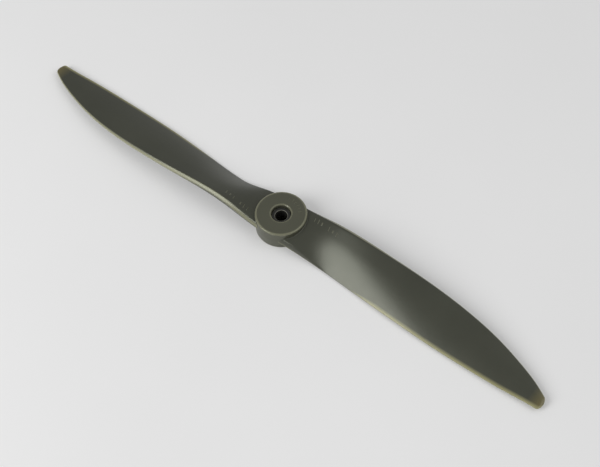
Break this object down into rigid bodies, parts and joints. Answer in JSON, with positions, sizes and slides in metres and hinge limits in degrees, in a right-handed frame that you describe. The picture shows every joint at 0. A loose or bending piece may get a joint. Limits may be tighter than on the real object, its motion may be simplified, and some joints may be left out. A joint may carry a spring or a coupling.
{
  "type": "model aircraft propeller",
  "caption": "Two-blade moulded propeller for a model aircraft, with swept rounded tips and a thick round hub whose stepped hole holds a push-in shaft adapter ring.",
  "frame": {"origin": "centre of the hub's rear face, which rests on the drive washer or on the table", "axes": "+Z along the shaft axis towards the hub's front face, +X along one blade towards its tip, +Y the way that blade moves when the propeller pulls"},
  "size_m": [0.254, 0.026, 0.0105],
  "materials": {
    "glass_filled_nylon": "semi-gloss dark olive grey moulding, slightly translucent where it is thin",
    "ring_plastic": "satin dark grey, paler on its rubbed edges"
  },
  "bodies": {
    "propeller": {"propeller": "glass_filled_nylon"},
    "adapter_ring": {"adapter_ring": "ring_plastic"}
  },
  "joints": [
    {"name": "ring_lift", "type": "slide", "parent": "propeller", "child": "adapter_ring", "axis": [0, 0, 1], "range_m": [0, 0.012]}
  ]
}
